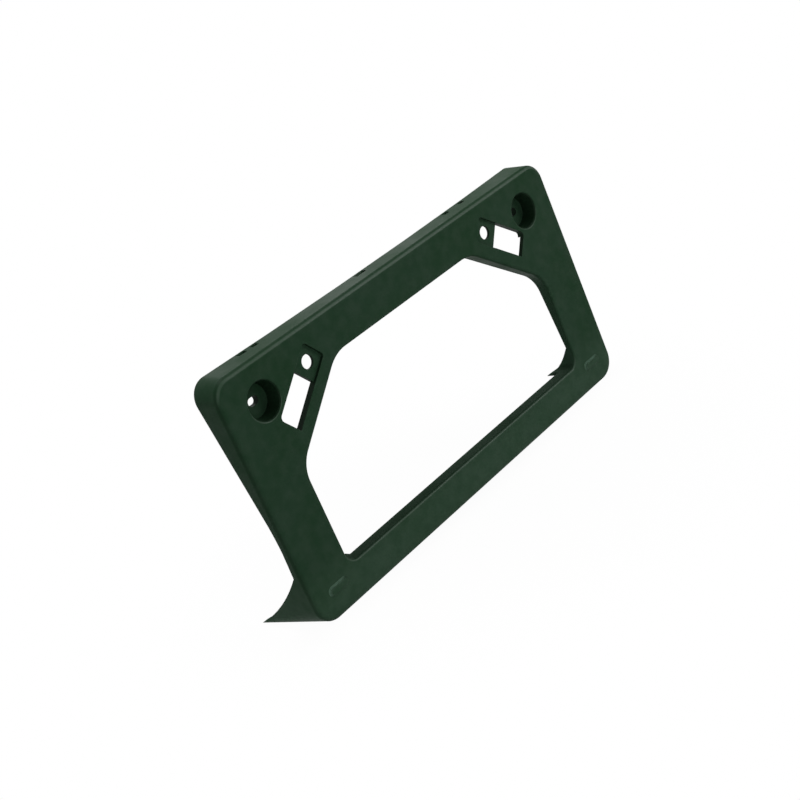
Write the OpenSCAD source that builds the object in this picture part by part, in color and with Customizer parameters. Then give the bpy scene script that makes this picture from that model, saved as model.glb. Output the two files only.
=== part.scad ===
// Number plate holder: one hollow moulding that stands off a curved bumper.
// The plate lies on the front face, the skirt closes the gap to the bumper behind it.
// Millimetres, +X to the right seen from the front, +Y towards the bumper, +Z up.
// The origin lies midway between the two plate screw holes, on the floor they are drilled in.

/* [Face] */
// Width of the face
face_w = 320.6; // [310:1:330]
// Height of the face
face_h = 164; // [158:1:170]
// Radius of the face's upper corners
corner_r = 13; // [9:0.5:15]
// Radius of the face's lower corners
low_corner_r = 14.5; // [12:0.5:18]
// Thickness of the face
face_t = 3; // [2.6:0.1:3.4]
// Rounding of the face's outer edge
edge_r = 3.3; // [2.4:0.1:3.6]

/* [Opening] */
// Width of the opening at its sides
opening_w = 247.8; // [240:0.2:252]
// Width of the opening's top edge between the slanted corners
opening_top_w = 135.4; // [130:0.2:142]
// Height of the beam above the opening
top_beam = 27.8; // [26:0.2:32]
// Height of the beam below the opening
bottom_beam = 23.2; // [20:0.1:28]
// Height of the slanted corners
slant_h = 44.9; // [40:0.1:50]
// Rounding where the top edge meets the slanted corner
round_top = 26; // [15:1:34]
// Rounding where the slanted corner meets the side
round_side = 21; // [10:1:30]
// Rounding of the opening's bottom corners
round_bottom = 7.5; // [5:0.5:14]
// Rounding of the opening's front edge
opening_edge_r = 1.9; // [0.6:0.1:2.4]

/* [Plate screws] */
// Distance between the plate screw holes
screw_span = 177.8; // [176:0.1:179]
// Distance of the plate screw holes from the face's top edge
screw_edge = 22; // [20:0.2:24]
// Diameter of the plate screw holes
screw_d = 9; // [6:0.2:10]

/* [Clip pads] */
// Slope of a pad below the level line, in degrees
pad_angle = 38.5; // [34:0.5:42]
// Depth of the pad's recess in the face
pad_recess = 2; // [1:0.1:2.4]
// Width of the pad's recess
pad_w = 17; // [15:0.2:18]
// Reach of the recess past the screw hole, away from the window
pad_reach = 8.4; // [7:0.1:10]
// Rounding of the recess's corners
pad_corner_r = 2; // [1:0.5:4]
// Thickness of the pad's floor
pad_t = 2; // [1.6:0.1:4]
// Width of the raised wall round the recess on the back
pad_rim = 2.4; // [1.8:0.1:3]
// Distance from the screw hole to the window
window_gap = 9.4; // [8:0.1:10]
// Length of the left window along its pad
left_window_l = 30.9; // [24:0.1:32]
// Length of the right window along its pad
right_window_l = 26.3; // [24:0.1:32]
// Width of the windows across the pads
window_w = 16.8; // [12:0.2:17.4]
// Rounding of the windows' corners beside the cups
window_r = 3; // [1:0.5:5]
// Depth of the walls along the windows' sides
window_wall = 5; // [4:0.1:6]

/* [Bumper bolts] */
// Distance between the bolt cups
cup_span = 260; // [258:0.5:264]
// Distance of the cups' middle from the face's top edge
cup_edge = 25; // [23:0.5:27]
// Diameter of a cup at the face
cup_d = 24.2; // [20:0.2:26]
// Diameter of a cup at its floor
cup_floor_d = 20.6; // [18:0.2:24]
// Depth of a cup
cup_depth = 10.5; // [8:0.5:12]
// Thickness of a cup's floor
cup_floor_t = 2.4; // [2.4:0.1:3.4]
// Thickness of a cup's wall
cup_wall = 1.6; // [1.6:0.1:2.6]
// Rounding of a cup's rim
cup_rim_r = 1; // [0.5:0.1:1.4]
// Diameter of the seat behind a cup that meets the bumper
cup_seat_d = 16; // [14:0.5:20]
// Length of the bolt slot
slot_l = 8; // [7:0.5:11]
// Width of the bolt slot
slot_w = 5.4; // [4.5:0.1:6.5]

/* [Plate rests] */
// Distance between the two raised rests under the plate's lower corners
rest_span = 277; // [270:1:282]
// Distance of the rests from the face's bottom edge
rest_edge = 17; // [14:0.5:18]
// Length of a rest
rest_l = 16; // [12:0.5:20]
// Width of a rest
rest_w = 5.6; // [4:0.2:8]
// Height of a rest above the face
rest_h = 1.2; // [0.6:0.1:1.6]

/* [Skirt] */
// Thickness of the skirt
skirt_t = 2.4; // [2:0.1:2.8]
// Rise of the top skirt towards the bumper, in degrees
top_lift = 4; // [0:0.1:9]
// Drop of the bottom skirt towards the bumper, in degrees
bottom_drop = 0.2; // [0:0.1:3]
// Radius of the skirt's lower corners at the tip of the feet
foot_corner_r = 1.5; // [1:0.5:6]
// Depth of the bottom skirt between the feet
bottom_depth = 43; // [30:1:46]
// Width of each foot below the bumper
foot_w = 5; // [4:0.5:12]
// Rounding inside the feet
foot_r = 5; // [3:0.5:9]
// Length from front to back of the hook slots near the top skirt's rear edge
hook_slot_l = 3.8; // [2.6:0.1:3.9]
// Bar left between a hook slot and the rear edge
hook_bar = 1.2; // [0.8:0.1:2]

/* [Return flange] */
// Thickness of the flange round the opening
flange_t = 2.2; // [1.8:0.1:2.8]
// Depth of the flange at the height of the bumper's lower edge
flange_depth = 4.4; // [3.6:0.1:5]
// Slope of the flange's rear edge above that height, in degrees
flange_lean = 4.6; // [0:0.1:6]
// Slope of the flange's rear edge below that height, in degrees
flange_tuck = 52; // [40:1:56]
// Depth of the flange below the opening, between its corners
flange_bottom_depth = 10.2; // [8:0.1:14]
// Width of the deeper flange at each bottom corner
flange_corner_w = 10; // [9:0.5:20]

/* [Ribs] */
// Thickness of the stiffening ribs
rib_t = 1.8; // [1.2:0.1:2.4]
// Distances of the ribs across the top beam from the middle
rib_top_in = 22; // [16:1:34]
rib_top_out = 58; // [46:1:66]
// Heights of the ribs across the side beams above the face's bottom edge
rib_side_low = 48; // [40:1:60]
rib_side_high = 82; // [70:1:92]
// Distances of the gussets across the bottom beam from the middle
rib_bottom_in = 30; // [20:1:50]
rib_bottom_out = 90; // [70:1:108]
// Depth of those gussets along the skirt
rib_bottom_depth = 26; // [20:1:34]

/* [Bumper] */
// Radius of the bumper's curve seen from above
bumper_r = 2600; // [2000:100:8000]
// Depth of the bumper's nose behind the face's sides
nose_y = 6.25; // [5.5:0.05:9]
// Height of the nose above the face's bottom edge
nose_up = 54.2; // [46:0.2:58]
// Radius of the nose seen from the side
nose_r = 150; // [120:10:300]
// Slope of the bumper's front above the nose, in degrees
front_slope = 8.5; // [6:0.1:10]
// Height of the bumper's lower edge above the face's bottom edge
chin_up = 36.6; // [32:0.1:40]
// Depth at which the bumper's underside meets the tip of the feet
tip_y = 61.5; // [55:0.5:66]
// Bulge of the bumper's underside between its lower edge and the feet
under_bulge = 3.4; // [1:0.2:5]
// Slope of the underside behind the feet, in degrees
tail_slope = 24; // [10:1:40]

/* [Hidden] */
$fn = 96;
holder_color = [0.14, 0.21, 0.17];
// Overlap that keeps joined or cut solids from sharing a face
eps = 0.5;
// Thickness of the slices between which the skirt is drawn
thin = 0.01;
// Smallest radius of the hollow's corners
tight_r = 0.4;
// Hook slots in the top skirt, from left to right: place and width
hook_slots = [[-119.5, 6.5], [-109.5, 5], [-15.2, 9], [73.8, 5], [91, 5]];
// Flats round the bumper's curve across the holder, and steps along its nose and underside
plan_flats = 5;
nose_steps = 6;
under_steps = 10;
// Steps along each rounded corner of the opening, and across its rounded front edge
arc_steps = 10;
edge_steps = 5;
// Depth of the block that carries the rounded outer edge
rim_depth = max(face_t, edge_r) + eps;
// Depth where the skirt's spreading form ends, and a depth that nothing of the holder reaches
skirt_end = tip_y + skirt_t;
far_y = skirt_end + skirt_t;
cup_end = cup_depth + cup_floor_t;
screw_z = face_h / 2 - screw_edge;
cup_z = face_h / 2 - cup_edge;
rest_z = rest_edge - face_h / 2;
chin_z = chin_up - face_h / 2;
nose_z = nose_up - face_h / 2;
opening_top = face_h / 2 - top_beam;
opening_bottom = bottom_beam - face_h / 2;
// Corners of the opening and their roundings, clockwise from the lower left
opening_corners = [
    [-opening_w / 2, opening_bottom], [-opening_w / 2, opening_top - slant_h],
    [-opening_top_w / 2, opening_top], [opening_top_w / 2, opening_top],
    [opening_w / 2, opening_top - slant_h], [opening_w / 2, opening_bottom]
];
opening_radii = [round_bottom, round_side, round_top, round_top, round_side, round_bottom];

function unit(v) = v / norm(v);

// Sides of a closed outline moved outwards by d, with corners p listed clockwise
function left_of(a, b) = let (u = unit(b - a)) [-u[1], u[0]];
function grown_corner(p, i, d) =
    let (n = len(p), a = p[(i + n - 1) % n], c = p[i], b = p[(i + 1) % n],
         s = left_of(a, c), t = left_of(c, b))
    c + d * (s + t) / (1 + s * t);
function grown(p, d) = [for (i = [0:len(p) - 1]) grown_corner(p, i, d)];

// Points of the arc that rounds corner i of a clockwise outline p with radius r
function corner_arc(p, i, r) =
    let (n = len(p), c = p[i], u = unit(p[(i + n - 1) % n] - c), v = unit(p[(i + 1) % n] - c),
         centre = c + unit(u + v) * r / sqrt((1 - u * v) / 2),
         turn = 180 - acos(u * v), middle = c - centre, start = atan2(middle[1], middle[0]))
    [for (k = [0:arc_steps]) let (a = start + turn * (0.5 - k / arc_steps))
        centre + r * [cos(a), sin(a)]];

function rounded(p, radii) = [for (i = [0:len(p) - 1]) each corner_arc(p, i, radii[i])];

module oblong(l, w) {
    square([l - w, w], center = true);
    for (x = [-1, 1])
        translate([x * (l - w) / 2, 0]) circle(w / 2);
}

// Turns a drawing in the face's plane into a solid between two depths behind the face
module in_depth(from, to) {
    translate([0, to, 0]) rotate([90, 0, 0]) linear_extrude(to - from) children();
}

// A turned form whose axis runs straight back from the face
module turned() {
    rotate([-90, 0, 0]) rotate_extrude() children();
}

module both_sides() {
    children();
    mirror([1, 0, 0]) children();
}

// Point of the bumper's side profile on its nose, at angle a above the level line
function nose_point(a) = [nose_y + nose_r * (1 - cos(a)), nose_z + nose_r * sin(a)];
chin = nose_point(asin((chin_z - nose_z) / nose_r));
tip = [tip_y, -face_h / 2];
// The underside from chin to tip is an arc that bulges downwards by under_bulge
chord = norm(tip - chin);
under_r = (chord * chord / 4 + under_bulge * under_bulge) / (2 * under_bulge);
under_dir = unit(tip - chin);
under_centre = (chin + tip) / 2 + (under_r - under_bulge) * [-under_dir[1], under_dir[0]];
under_turn = 2 * asin(chord / 2 / under_r);
under_start = atan2(chin[1] - under_centre[1], chin[0] - under_centre[0]);
function under_point(a) = under_centre + under_r * [cos(under_start + a), sin(under_start + a)];
front_join = nose_point(front_slope);

// The bumper, brought forward by gap: its side profile set round a wide curve in flats
module bumper(gap) {
    side_shift = bumper_r - sqrt(bumper_r * bumper_r - pow(face_w / 2, 2));
    step = 2 * asin(face_w / 2 / bumper_r) / plan_flats;
    half_flats = (plan_flats - 1) / 2;
    back_y = 2 * far_y;
    profile = concat(
        [[back_y, face_h], [front_join[0] + (face_h - front_join[1]) * tan(front_slope), face_h]],
        [for (i = [0:nose_steps]) nose_point(front_slope * (1 - i / nose_steps))],
        [for (i = [0:under_steps]) under_point(under_turn * i / under_steps)],
        [[back_y, tip[1] - (back_y - tip_y) * tan(tail_slope)]]);
    translate([0, bumper_r - side_shift - gap, 0])
        intersection_for (i = [-half_flats:half_flats])
            rotate(i * step) translate([0, -bumper_r, 0])
                rotate([90, 0, 90]) linear_extrude(2 * face_w, center = true) polygon(profile);
}

// Section across the face's edge: w wide from the middle, with its front corner rounded
module edge_section(w, depth) {
    square([w - edge_r, depth]);
    translate([0, edge_r]) square([w, depth - edge_r]);
    translate([w - edge_r, edge_r]) circle(edge_r);
}

// Upper half of a solid of the face's outline with corners of radius r, its front edge rounded
module face_half(r) {
    mid_w = face_w - 2 * r;
    mid_h = face_h / 2 - r;
    rotate([90, 0, 90]) linear_extrude(mid_w, center = true)
        rotate(90) mirror([0, 1]) edge_section(face_h / 2, rim_depth);
    both_sides() translate([mid_w / 2, 0, 0]) {
        linear_extrude(mid_h) edge_section(r, rim_depth);
        translate([0, 0, mid_h]) rotate([-90, 0, 0]) rotate([0, 0, -90])
            rotate_extrude(angle = 90) edge_section(r, rim_depth);
    }
}

module face_block() {
    face_half(corner_r);
    mirror([0, 0, 1]) face_half(low_corner_r);
}

// Slice of the skirt's form at depth y, its outline moved inwards by inset. The form spreads
// towards the bumper at the top and the bottom, and its lower corners draw in at the feet
module skirt_slice(y, inset) {
    run = y - rim_depth;
    drawn = run / (skirt_end - rim_depth);
    top = face_h / 2 + tan(top_lift) * run - inset;
    bottom = -face_h / 2 - tan(bottom_drop) * run + inset;
    top_r = corner_r - inset;
    low_r = max(low_corner_r + (foot_corner_r - low_corner_r) * drawn - inset, tight_r);
    in_depth(y, y + thin) for (side = [-1, 1]) {
        translate([side * (face_w / 2 - inset - top_r), top - top_r]) circle(top_r, $fn = 64);
        translate([side * (face_w / 2 - inset - low_r), bottom + low_r]) circle(low_r, $fn = 64);
    }
}

module skirt_form(from, to, inset) {
    hull() {
        skirt_slice(from, inset);
        skirt_slice(to - thin, inset);
    }
}

// Space behind the bottom skirt between the two feet
module foot_gap() {
    gap_w = face_w - 2 * foot_w;
    translate([0, 0, -face_h]) linear_extrude(face_h + chin_z) {
        translate([0, bottom_depth + far_y / 2 + foot_r])
            square([gap_w, far_y], center = true);
        translate([0, bottom_depth + far_y / 2])
            square([gap_w - 2 * foot_r, far_y], center = true);
        for (side = [-1, 1])
            translate([side * (gap_w / 2 - foot_r), bottom_depth + foot_r]) circle(foot_r);
    }
}

// Slots through the top skirt for the bumper's hooks, a bar's width short of its rear edge
module hook_cuts() {
    difference() {
        intersection() {
            for (slot = hook_slots)
                translate([slot[0] - slot[1] / 2, rim_depth, face_h / 2 - 2 * skirt_t])
                    cube([slot[1], far_y, far_y]);
            bumper(hook_bar + hook_slot_l);
        }
        bumper(hook_bar);
    }
}

module skirt() {
    difference() {
        skirt_form(rim_depth, skirt_end, 0);
        bumper(0);
        foot_gap();
        hook_cuts();
    }
}

// Ring of the opening's outline grown by grow, at depth y
function opening_ring(y, grow) =
    [for (p = rounded(grown(opening_corners, grow), [for (r = opening_radii) r + grow]))
        [p[0], y, p[1]]];

// Space of the opening from before the face to the far depth, flared round its front edge
module opening_cut() {
    step = 90 / edge_steps;
    lead = opening_edge_r / edge_steps;
    depths = [for (k = [0:edge_steps]) opening_edge_r * (1 - cos(step * k))];
    flares = [for (k = [0:edge_steps]) opening_edge_r * (1 - sin(step * k))];
    rings = concat(
        [opening_ring(-eps, opening_edge_r + lead),
         opening_ring(-lead * tan(step / 2), opening_edge_r + lead)],
        [for (k = [1:edge_steps]) opening_ring(depths[k], flares[k])],
        [opening_ring(far_y + eps, 0)]);
    n = len(rings[0]);
    last = len(rings) - 1;
    sides = [for (i = [0:last - 1], j = [0:n - 1]) let (k = (j + 1) % n)
        [i * n + j, (i + 1) * n + j, (i + 1) * n + k, i * n + k]];
    front = [for (j = [0:n - 1]) j];
    back = [for (j = [0:n - 1]) last * n + n - 1 - j];
    polyhedron([for (ring = rings) each ring], concat([front, back], sides));
}

// Flange round the opening, still filled, with a shallower stretch below the opening
module flange() {
    middle_w = opening_w - 2 * flange_corner_w;
    difference() {
        in_depth(face_t - eps, far_y)
            polygon(rounded(grown(opening_corners, flange_t), [for (r = opening_radii) r + flange_t]));
        translate([-middle_w / 2, flange_bottom_depth, -face_h])
            cube([middle_w, far_y, face_h + chin_z]);
    }
}

// Space behind the rear edge of the flange and the ribs
module behind_flange() {
    rotate([90, 0, 90]) linear_extrude(face_w, center = true)
        polygon([[flange_depth, chin_z],
                 [flange_depth + (face_h - chin_z) * tan(flange_lean), face_h],
                 [2 * far_y, face_h],
                 [2 * far_y, chin_z - (2 * far_y - flange_depth) * tan(flange_tuck)]]);
}

// Places a drawing with its x along the pad, downwards and outwards from the right screw hole
module on_pad() {
    translate([screw_span / 2, screw_z]) rotate(-pad_angle) children();
}

// Outline of a window of the given length, rounded at the corner beside the cup
module window_outline(length) {
    end = window_gap + length;
    half = window_w / 2;
    translate([window_gap, -half]) square([length - window_r, window_w]);
    translate([window_gap, -half]) square([length, window_w - window_r]);
    translate([end - window_r, half - window_r]) circle(window_r);
}

module recess_outline(grow) {
    x0 = -pad_reach - grow;
    half = pad_w / 2 + grow;
    r = pad_corner_r + grow;
    translate([x0 + r, -half]) square([window_gap + eps - x0 - r, 2 * half]);
    translate([x0, -half + r]) square([window_gap + eps - x0, 2 * (half - r)]);
    for (side = [-1, 1])
        translate([x0 + r, side * (half - r)]) circle(r);
}

// Block on the back of the face that carries the recess and walls the window's sides
module pad_block(window_l) {
    in_depth(face_t - eps, pad_recess + pad_t) on_pad() recess_outline(pad_rim);
    in_depth(face_t - eps, window_wall) on_pad()
        translate([window_gap - eps, -window_w / 2 - pad_rim])
            square([window_l + eps, window_w + 2 * pad_rim]);
}

module pad_cuts(window_l) {
    in_depth(-eps, pad_recess) on_pad() recess_outline(0);
    in_depth(-eps, far_y) on_pad() window_outline(window_l);
    translate([screw_span / 2, -eps, screw_z]) rotate([-90, 0, 0])
        cylinder(h = pad_recess + pad_t + 2 * eps, d = screw_d);
}

module cup_body() {
    translate([cup_span / 2, 0, cup_z]) rotate([-90, 0, 0])
        translate([0, 0, face_t - eps]) {
            cylinder(h = cup_end - face_t + eps, d1 = cup_d + 2 * cup_wall,
                     d2 = cup_floor_d + 2 * cup_wall);
            cylinder(h = far_y, d = cup_seat_d);
        }
}

// Inside of a cup from the face to its floor, with a rounded rim, and the slot in its floor
module cup_cuts() {
    translate([cup_span / 2, 0, cup_z]) {
        rotate([-90, 0, 0]) cylinder(h = cup_depth, d1 = cup_d, d2 = cup_floor_d);
        turned() difference() {
            translate([0, -eps]) square([cup_d / 2 + cup_rim_r, cup_rim_r + eps]);
            translate([cup_d / 2 + cup_rim_r, cup_rim_r]) circle(cup_rim_r);
        }
        in_depth(cup_depth - eps, far_y) oblong(slot_l, slot_w);
    }
}

// Raised oblong rests, each with a softened edge
module rests() {
    both_sides() translate([rest_span / 2, 0, rest_z]) {
        in_depth(-rest_h / 2, face_t / 2) oblong(rest_l, rest_w);
        in_depth(-rest_h, 0) oblong(rest_l - rest_h, rest_w - rest_h);
    }
}

module ribs() {
    beam_top = face_h / 2 - skirt_t / 2;
    beam_side = face_w / 2 - skirt_t / 2;
    flange_top = opening_top + flange_t / 2;
    flange_side = (opening_w + flange_t) / 2;
    flange_low = opening_bottom - flange_t / 2;
    for (x = [rib_top_in, rib_top_out])
        translate([x - rib_t / 2, face_t - eps, flange_top])
            cube([rib_t, far_y, beam_top - flange_top]);
    for (up = [rib_side_low, rib_side_high])
        translate([flange_side, face_t - eps, up - face_h / 2 - rib_t / 2])
            cube([beam_side - flange_side, far_y, rib_t]);
    for (x = [rib_bottom_in, rib_bottom_out])
        translate([x, 0, 0]) rotate([90, 0, 90]) linear_extrude(rib_t, center = true)
            polygon([[face_t - eps, -beam_top], [face_t - eps, flange_low],
                     [flange_bottom_depth - rib_t, flange_low], [rib_bottom_depth, -beam_top]]);
}

module plate_holder() {
    color(holder_color)
    translate([0, -pad_recess, -screw_z])
    difference() {
        union() {
            difference() {
                union() {
                    face_block();
                    skirt();
                }
                skirt_form(face_t, skirt_end + eps, skirt_t);
            }
            difference() {
                union() {
                    flange();
                    both_sides() ribs();
                }
                behind_flange();
            }
            difference() {
                both_sides() cup_body();
                bumper(0);
            }
            pad_block(right_window_l);
            mirror([1, 0, 0]) pad_block(left_window_l);
            rests();
        }
        opening_cut();
        both_sides() cup_cuts();
        pad_cuts(right_window_l);
        mirror([1, 0, 0]) pad_cuts(left_window_l);
    }
}

plate_holder();
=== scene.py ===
import math

import bpy
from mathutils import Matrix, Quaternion, Vector


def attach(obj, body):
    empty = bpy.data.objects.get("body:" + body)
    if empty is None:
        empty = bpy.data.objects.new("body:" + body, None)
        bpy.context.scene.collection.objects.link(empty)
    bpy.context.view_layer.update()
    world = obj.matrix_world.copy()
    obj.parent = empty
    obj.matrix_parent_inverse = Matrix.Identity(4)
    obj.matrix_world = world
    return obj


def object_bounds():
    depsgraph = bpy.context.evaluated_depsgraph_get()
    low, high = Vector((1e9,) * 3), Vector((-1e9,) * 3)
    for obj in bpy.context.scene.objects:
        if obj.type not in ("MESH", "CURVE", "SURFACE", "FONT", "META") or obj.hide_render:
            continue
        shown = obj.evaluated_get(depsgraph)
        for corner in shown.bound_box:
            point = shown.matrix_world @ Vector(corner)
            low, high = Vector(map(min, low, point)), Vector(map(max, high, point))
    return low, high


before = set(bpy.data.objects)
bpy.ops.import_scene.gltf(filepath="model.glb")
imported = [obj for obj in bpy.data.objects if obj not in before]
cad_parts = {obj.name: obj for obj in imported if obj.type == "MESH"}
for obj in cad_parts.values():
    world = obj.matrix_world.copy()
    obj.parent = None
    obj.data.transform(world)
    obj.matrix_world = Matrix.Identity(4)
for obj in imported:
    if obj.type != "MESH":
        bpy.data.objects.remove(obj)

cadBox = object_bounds()
print("frame: CAD box", [tuple(round(v, 4) for v in corner) for corner in cadBox])


class Wire:
    # an output socket that takes part in plain arithmetic; each step adds a Math node
    def __init__(self, sheet, socket):
        self.sheet = sheet
        self.socket = socket

    def step(self, operation, *values):
        return self.sheet.node("ShaderNodeMath", {"operation": operation}, dict(enumerate(values)))

    def __add__(self, other):
        return self.step("ADD", self, other)

    def __radd__(self, other):
        return self.step("ADD", other, self)

    def __sub__(self, other):
        return self.step("SUBTRACT", self, other)

    def __rsub__(self, other):
        return self.step("SUBTRACT", other, self)

    def __mul__(self, other):
        return self.step("MULTIPLY", self, other)

    def __rmul__(self, other):
        return self.step("MULTIPLY", other, self)

    def __abs__(self):
        return self.step("ABSOLUTE", self)

    def atMost(self, other):
        return self.step("MINIMUM", self, other)

    def rise(self, low, high):
        # 0 below low, 1 above high, smooth in between
        settings = {"interpolation_type": "SMOOTHSTEP"}
        values = {"Value": self, "From Min": low, "From Max": high}
        return self.sheet.node("ShaderNodeMapRange", settings, values)

    def fall(self, low, high):
        return 1 - self.rise(low, high)


class Sheet:
    # a node tree that is being filled
    def __init__(self, tree):
        self.tree = tree

    def node(self, kind, settings=None, values=None, out=0):
        made = self.tree.nodes.new(kind)
        for name, value in (settings or {}).items():
            setattr(made, name, value)
        for key, value in (values or {}).items():
            socket = self.socketOf(made, key)
            if isinstance(value, Wire):
                self.tree.links.new(value.socket, socket)
            else:
                socket.default_value = value
        return Wire(self, made.outputs[out]) if made.outputs else None

    def socketOf(self, made, key):
        # a name that is used twice on a node means the socket that is switched on
        if isinstance(key, int):
            return made.inputs[key]
        return [s for s in made.inputs if s.name == key and s.enabled][0]

    def vector(self, operation, *values):
        out = "Value" if operation in ("LENGTH", "DOT_PRODUCT") else "Vector"
        settings = {"operation": operation}
        return self.node("ShaderNodeVectorMath", settings, dict(enumerate(values)), out)

    def along(self, vector, axis):
        return self.node("ShaderNodeSeparateXYZ", None, {"Vector": vector}, out=axis)

    def noise(self, place, size, detail, roughness):
        # size is about the width of one patch
        values = {"Vector": place, "Scale": 1 / size, "Detail": detail, "Roughness": roughness}
        return self.node("ShaderNodeTexNoise", None, values)

    def mixColours(self, amount, first, second):
        # a Mix node keeps its colours in sockets 6 and 7, and gives the result in 2
        values = {0: amount, 6: first, 7: second}
        return self.node("ShaderNodeMix", {"data_type": "RGBA"}, values, out=2)


def emptySheet(owner):
    # the cleared node tree of a new material or world
    owner.use_nodes = True
    owner.node_tree.nodes.clear()
    return Sheet(owner.node_tree)


def colour(r, g, b):
    return (r, g, b, 1)


# a pair is where a finish begins and is whole, or where it starts to fade and is gone; all in metres
# or, where it isn't a length, as the noise, the roughness or the surface's turn gives it
plateHolder = {
    "node": "plate_holder",
    "plastic": colour(0.0125, 0.0335, 0.0175),  # dark green-black, as moulded
    "clouded": colour(0.0093, 0.0300, 0.0132),  # the darker clouds in it
    "cloudSize": 0.045,
    "cloudFade": (0.35, 0.68),
    "roughness": (0.42, 0.56),                  # least and most, which goes with the clouds too
    "roughnessFade": (0.3, 0.7),
    "specular": 0.032,                          # a grained skin reflects little straight on
    "grain": {                                  # the spark-eroded skin of the mould
        "size": 0.00045,
        "pitSize": 0.00075,
        "depth": 0.00002,
        "grainShare": 0.7,
        "pitShare": 0.5,
        "strength": 0.5,
    },
    "scuffs": {                                 # fine clouds of handling over the whole
        "colour": colour(0.052, 0.071, 0.055),
        "size": 0.0075,
        "fade": (0.3, 0.75),
        "strength": 0.16,
    },
    "edges": {                                  # rubbed where they are handled
        "softness": 0.0005,                     # radius that every moulded edge has
        "turn": (0.02, 0.25),                   # how far the surface turns, 0 being flat
        "rub": (0.2, 0.5),                      # everywhere, and more of it in the fine clouds
        "rubFade": (0.42, 0.66),
        "strength": 0.6,
        "smoother": 0.08,                       # off the roughness
    },
    "paintedBounce": {                               # painted light: the low parts lighter, as the floor's bounce lights them, in patches
        "colour": colour(0.042, 0.078, 0.050),
        "heights": (-0.135, -0.100),            # between which it fades out
        "patches": (0.8, 0.4),                  # everywhere, and more of it in the fine clouds
        "patchFade": (0.2, 0.7),
        "strength": 0.34,
    },
    "rests": {                                  # painted highlight: a lighter rim on the upper left side of the two raised rests
        "colour": colour(0.085, 0.150, 0.105),
        "middles": ((-0.1385, -0.002, -0.125), (0.1385, -0.002, -0.125)),
        "straight": 0.0052,                     # half the length between the round ends
        "radius": 0.0028,
        "rimInside": (-0.0012, -0.0002),        # from the outline, where the rim begins
        "rimOutside": (0.0003, 0.0008),         # and where it ends
        "side": (-0.35, 0, 1),                  # the lit side, up and a little to the left
        "sideFade": (-0.0005, 0.0018),
        "depth": (0.0008, 0.0015),              # behind the face, where it fades out
        "strength": 0.85,
    },
    # for these, 1 is a surface that looks straight to the front, or straight up
    "rounding": {                               # shines where it looks forwards and up
        "toFront": (0.62, 0.80),
        "pastFlat": (0.975, 0.996),
        "up": (0.02, 0.20),
        "coat": 0.25,
        "coatRoughness": 0.40,
    },
    "paintedShade": {                              # painted shade: a darker base colour where shade falls, and a rougher ledge
        "colour": colour(0.004, 0.011, 0.005),
        "ledgeUp": (0.6, 0.85),                 # painted shade on the ledge under the opening
        "ledgeHeights": (-0.10, -0.09),
        "ledgeStrength": 0.3,
        "ledgeRougher": 0.3,
        "dipFront": (0.12, 0.40),               # painted shade in the dip beside a rounding
        "dipEnd": (0.60, 0.85),
        "dipStrength": 0.32,
        "wallFront": (0.25, 0.50),              # painted shade on the walls inside the cups and the clip pads
        "wallFromSlant": (0.073, 0.077),        # place sideways plus height, outside the opening
        "wallSideways": (0.150, 0.152),
        "wallHeights": (0.013, 0.015),
        "wallStrength": 0.75,
    },
}


def highlightOfRest(sheet, place, middle, look):
    # 1 along the upper left half of an oblong's outline, seen from the front: where the rest's
    # painted highlight goes
    offset = sheet.vector("SUBTRACT", place, middle)
    beyond = sheet.vector("SUBTRACT", sheet.vector("ABSOLUTE", offset), (look["straight"], 1, 0))
    reach = sheet.vector("LENGTH", sheet.vector("MAXIMUM", beyond, (0, 0, 0)))
    fromRim = reach - look["radius"]
    band = fromRim.rise(*look["rimInside"]) * fromRim.fall(*look["rimOutside"])
    side = sheet.vector("DOT_PRODUCT", offset, look["side"]).rise(*look["sideFade"])
    return band * side * sheet.along(offset, "Y").fall(*look["depth"]) * look["strength"]


def rubOfEdges(sheet, softNormal, fineClouds, look):
    # how far a softened normal turns from the face's own says how near an edge is
    faceNormal = sheet.node("ShaderNodeNewGeometry", out="True Normal")
    edge = (1 - sheet.vector("DOT_PRODUCT", softNormal, faceNormal)).rise(*look["turn"])
    everywhere, more = look["rub"]
    return edge * (everywhere + more * fineClouds.rise(*look["rubFade"]))


# painted bounce light on the low parts, fading out upwards
def bounceOn(height, fineClouds, look):
    everywhere, more = look["patches"]
    patches = everywhere + more * fineClouds.rise(*look["patchFade"])
    return height.fall(*look["heights"]) * patches * look["strength"]


# the walls inside the cups and the clip pads, which get painted shade
def innerWalls(across, height, facing, look):
    walls = (across + height).rise(*look["wallFromSlant"]) * facing.fall(*look["wallFront"])
    return walls * across.fall(*look["wallSideways"]) * height.fall(*look["wallHeights"])


def grainBump(sheet, place, softNormal, look):
    grain = sheet.noise(place, look["size"], detail=2.0, roughness=0.6)
    pits = sheet.node("ShaderNodeTexVoronoi", {"feature": "SMOOTH_F1"},
                      {"Vector": place, "Scale": 1 / look["pitSize"], "Smoothness": 0.6})
    return sheet.node("ShaderNodeBump", None, {
        "Strength": look["strength"], "Distance": look["depth"],
        "Height": grain * look["grainShare"] + pits * look["pitShare"], "Normal": softNormal,
    })


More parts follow.
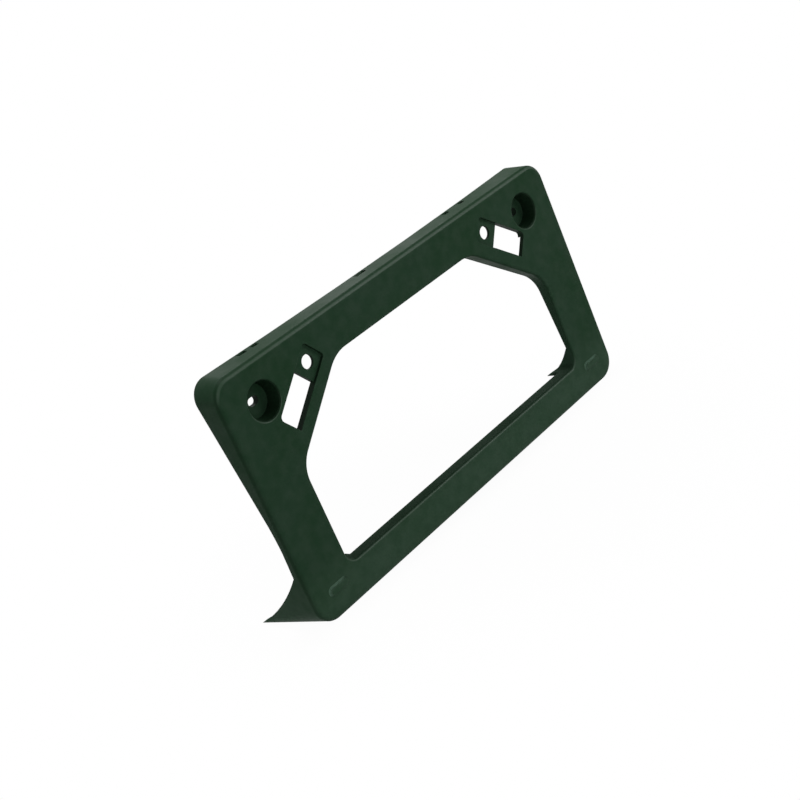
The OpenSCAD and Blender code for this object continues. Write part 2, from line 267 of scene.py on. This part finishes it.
def makePlastic(name, look):
    made = bpy.data.materials.new(name)
    sheet = emptySheet(made)
    scuffs, edges, bounce = look["scuffs"], look["edges"], look["paintedBounce"]
    rests, rounding, paintedShade = look["rests"], look["rounding"], look["paintedShade"]

    place = sheet.node("ShaderNodeTexCoord", out="Object")
    across, height = abs(sheet.along(place, "X")), sheet.along(place, "Z")
    outward = sheet.node("ShaderNodeTexCoord", out="Normal")
    facing, upward = 0 - sheet.along(outward, "Y"), sheet.along(outward, "Z")
    softNormal = sheet.node("ShaderNodeBevel", {"samples": 6}, {"Radius": edges["softness"]})
    clouds = sheet.noise(place, look["cloudSize"], detail=3.0, roughness=0.55)
    fineClouds = sheet.noise(place, scuffs["size"], detail=4.0, roughness=0.6)

    rub = rubOfEdges(sheet, softNormal, fineClouds, edges)
    # painted shade: the ledge under the opening, the dip beside each rounding and the inner walls
    # are darkened
    ledge = upward.rise(*paintedShade["ledgeUp"]) * height.fall(*paintedShade["ledgeHeights"])
    dip = facing.rise(*paintedShade["dipFront"]) * facing.fall(*paintedShade["dipEnd"])
    shadeAmount = ledge * paintedShade["ledgeStrength"] + dip * paintedShade["dipStrength"]
    shadeAmount = shadeAmount + innerWalls(across, height, facing, paintedShade) * paintedShade["wallStrength"]
    layers = [
        (clouds.rise(*look["cloudFade"]), look["clouded"]),
        (fineClouds.rise(*scuffs["fade"]) * scuffs["strength"], scuffs["colour"]),
        # painted bounce light on the low parts
        (bounceOn(height, fineClouds, bounce), bounce["colour"]),
        (rub * edges["strength"], scuffs["colour"]),
        # painted highlight on the rims of the rests
        *((highlightOfRest(sheet, place, middle, rests), rests["colour"]) for middle in rests["middles"]),
        # painted shade, laid over all the other layers
        (shadeAmount.atMost(1), paintedShade["colour"]),
    ]
    body = look["plastic"]
    for amount, tint in layers:
        body = sheet.mixColours(amount, body, tint)

    low, high = look["roughness"]
    rough = low + (high - low) * clouds.rise(*look["roughnessFade"])
    rough = rough - rub * edges["smoother"] + ledge * paintedShade["ledgeRougher"]
    rounded = facing.rise(*rounding["toFront"]) * facing.fall(*rounding["pastFlat"])
    shader = sheet.node("ShaderNodeBsdfPrincipled", None, {
        "Base Color": body, "Roughness": rough, "IOR": 1.5, "Specular IOR Level": look["specular"],
        "Normal": grainBump(sheet, place, softNormal, look["grain"]),
        "Coat Weight": rounded * upward.rise(*rounding["up"]) * rounding["coat"],
        "Coat Roughness": rounding["coatRoughness"],
    })
    sheet.node("ShaderNodeOutputMaterial", None, {"Surface": shader})
    return made


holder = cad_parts[plateHolder["node"]]
grainedPlastic = makePlastic("grainedPlastic", plateHolder)
for slot in holder.material_slots:
    slot.material = grainedPlastic
print("plate holder: finished in", grainedPlastic.name)


# low round marks that the mould's ejector pins leave on the back of the face, clear of the ribs
pinMarks = {
    "wall": 0.0010,             # m, the back of the face
    "radius": 0.0030,           # m
    "height": 0.0005,           # m, half of it stands out of the wall
    "sides": 40,
    "sizes": (0.85, 1.05),      # against the radius, as no two pins wear alike
    "seed": 4,
    "roughness": (0.30, 0.38),  # the pins' ends are ground, not grained
    "grainDepth": 0.000006,     # m
    "rows": (                   # m, height, then how far the marks are from the middle
        (0.008, (0, 0.040)),
        (-0.1304, (0, 0.060, 0.118)),
        (-0.040, (0.142,)),
        (-0.077, (0.142,)),
        (-0.112, (0.142,)),
    ),
}


def pinTree(look, material):
    tree = bpy.data.node_groups.new("pinMarks", "GeometryNodeTree")
    tree.interface.new_socket("Spots", in_out="INPUT", socket_type="NodeSocketGeometry")
    for name in ("Radius", "Height", "Smallest", "Largest"):
        tree.interface.new_socket(name, in_out="INPUT", socket_type="NodeSocketFloat")
    tree.interface.new_socket("Seed", in_out="INPUT", socket_type="NodeSocketInt")
    tree.interface.new_socket("Marks", in_out="OUTPUT", socket_type="NodeSocketGeometry")
    sheet = Sheet(tree)

    def given(name):
        return sheet.node("NodeGroupInput", out=name)

    pin = sheet.node("GeometryNodeMeshCylinder", None, {
        "Vertices": look["sides"], "Radius": given("Radius"), "Depth": given("Height")})
    size = sheet.node("FunctionNodeRandomValue", {"data_type": "FLOAT"}, {
        "Min": given("Smallest"), "Max": given("Largest"), "Seed": given("Seed")}, out=1)
    towardsBack = (math.pi / 2, 0, 0)
    placed = sheet.node("GeometryNodeInstanceOnPoints", None, {
        "Points": given("Spots"), "Instance": pin, "Rotation": towardsBack, "Scale": size})
    whole = sheet.node("GeometryNodeRealizeInstances", None, {"Geometry": placed})
    whole = sheet.node("GeometryNodeSetMaterial", None, {"Geometry": whole, "Material": material})
    sheet.node("NodeGroupOutput", None, {"Marks": whole})
    return tree


def makePinMarks(look, material):
    spots = [(side * away, look["wall"], height)
             for height, places in look["rows"]
             for away in places
             for side in ((-1, 1) if away else (1,))]
    mesh = bpy.data.meshes.new("pinSpots")
    mesh.from_pydata(spots, [], [])
    marks = bpy.data.objects.new("pinMarks", mesh)
    bpy.context.scene.collection.objects.link(marks)
    modifier = marks.modifiers.new("pinMarks", "NODES")
    modifier.node_group = pinTree(look, material)
    smallest, largest = look["sizes"]
    values = {"Radius": look["radius"], "Height": look["height"],
              "Smallest": smallest, "Largest": largest, "Seed": look["seed"]}
    for item in modifier.node_group.interface.items_tree:
        if item.name in values:
            modifier[item.identifier] = values[item.name]
    ready = marks.evaluated_get(bpy.context.evaluated_depsgraph_get())
    plain = bpy.data.meshes.new_from_object(ready)
    marks.modifiers.clear()
    marks.data = plain
    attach(marks, "root")
    return marks


groundPlastic = makePlastic("groundPlastic", {
    **plateHolder, "roughness": pinMarks["roughness"],
    "grain": {**plateHolder["grain"], "depth": pinMarks["grainDepth"]},
})
marks = makePinMarks(pinMarks, groundPlastic)
print("pin marks:", len(marks.data.polygons), "faces")


studio = {
    "floorSize": 30.0,           # m
    "floor": colour(0.8, 0.8, 0.8),
    "white": colour(1, 1, 1),
    "floorShade": 0.06,          # how much of the floor's own shading the camera sees
    "shadeReach": (0.10, 0.30),  # m from the holder's middle, where that share fades out
    "ambient": 0.02,
    "lampDistance": 1.8,         # m
    "lamps": {
        # direction from the holder, side of the square in m, watts
        "keyLamp": ((0.60, -0.65, 0.45), 0.9, 11.5),
        "lowLamp": ((0.64, -0.71, 0.27), 0.5, 3.5),
        "topLamp": ((0.05, 0.02, 1.00), 0.25, 23),  # the top beam shades the rest from it
        "frontLamp": ((-0.35, -0.85, 0.40), 0.9, 7.5),
        "backLamp": ((0.62, 0.72, 0.30), 0.9, 2.6),
        "sideLamp": ((-0.90, -0.15, 0.05), 0.8, 6),
    },
}


def whiteToTheEye(sheet):
    # 1 for the rays that show the background: straight ones, mirrored ones and those through glass
    seen = [sheet.node("ShaderNodeLightPath", out=name)
            for name in ("Is Camera Ray", "Is Glossy Ray", "Is Transmission Ray")]
    return (seen[0] + seen[1] + seen[2]).atMost(1)


def makeFloor(look):
    mesh = bpy.data.meshes.new("floor")
    side = look["floorSize"] / 2
    low = cadBox[0].z
    corners = [(-side, -side, low), (side, -side, low), (side, side, low), (-side, side, low)]
    mesh.from_pydata(corners, [], [(0, 1, 2, 3)])
    floor = bpy.data.objects.new("floor", mesh)
    bpy.context.scene.collection.objects.link(floor)
    made = bpy.data.materials.new("floorWhite")
    sheet = emptySheet(made)
    matt = sheet.node("ShaderNodeBsdfDiffuse", None, {"Color": look["floor"]})
    glow = sheet.node("ShaderNodeEmission", None, {"Color": look["white"], "Strength": 1.0})
    away = sheet.vector("LENGTH", sheet.node("ShaderNodeTexCoord", out="Object"))
    share = whiteToTheEye(sheet) * (1 - away.fall(*look["shadeReach"]) * look["floorShade"])
    mixed = sheet.node("ShaderNodeMixShader", None, {0: share, 1: matt, 2: glow})
    sheet.node("ShaderNodeOutputMaterial", None, {"Surface": mixed})
    mesh.materials.append(made)


def makeWorld(look):
    world = bpy.data.worlds.new("studio")
    bpy.context.scene.world = world
    sheet = emptySheet(world)
    strength = whiteToTheEye(sheet) * (1 - look["ambient"]) + look["ambient"]
    sky = sheet.node("ShaderNodeBackground", None, {"Color": look["white"], "Strength": strength})
    sheet.node("ShaderNodeOutputWorld", None, {"Surface": sky})


def makeLamps(look):
    middle = (cadBox[0] + cadBox[1]) / 2
    for name, (direction, side, watts) in look["lamps"].items():
        data = bpy.data.lights.new(name, "AREA")
        data.shape = "SQUARE"
        data.size = side
        data.energy = watts
        lamp = bpy.data.objects.new(name, data)
        away = Vector(direction).normalized()
        lamp.location = middle + away * look["lampDistance"]
        lamp.rotation_euler = away.to_track_quat("Z", "Y").to_euler()
        bpy.context.scene.collection.objects.link(lamp)


photoCamera = {
    "place": (-0.5930, -0.6638, 0.2354),    # m
    "looksAt": (-0.0171, 0.0222, -0.0660),  # m
    "roll": -23.62,                         # degrees, the picture's right side hangs down
    "lens": 66.26,                          # mm
    "sensorWidth": 36,                      # mm
}


def makeCamera(look):
    data = bpy.data.cameras.new("photoCamera")
    data.sensor_width = look["sensorWidth"]
    data.lens = look["lens"]
    camera = bpy.data.objects.new("photoCamera", data)
    camera.location = look["place"]
    ahead = Vector(look["looksAt"]) - Vector(look["place"])
    roll = Quaternion((0, 0, 1), math.radians(look["roll"]))
    camera.rotation_mode = "QUATERNION"
    camera.rotation_quaternion = ahead.to_track_quat("-Z", "Y") @ roll
    bpy.context.scene.collection.objects.link(camera)
    bpy.context.scene.camera = camera


makeFloor(studio)
makeWorld(studio)
makeLamps(studio)
makeCamera(photoCamera)
bpy.context.scene.view_settings.view_transform = "Standard"
print("studio: floor, lamps and camera placed")
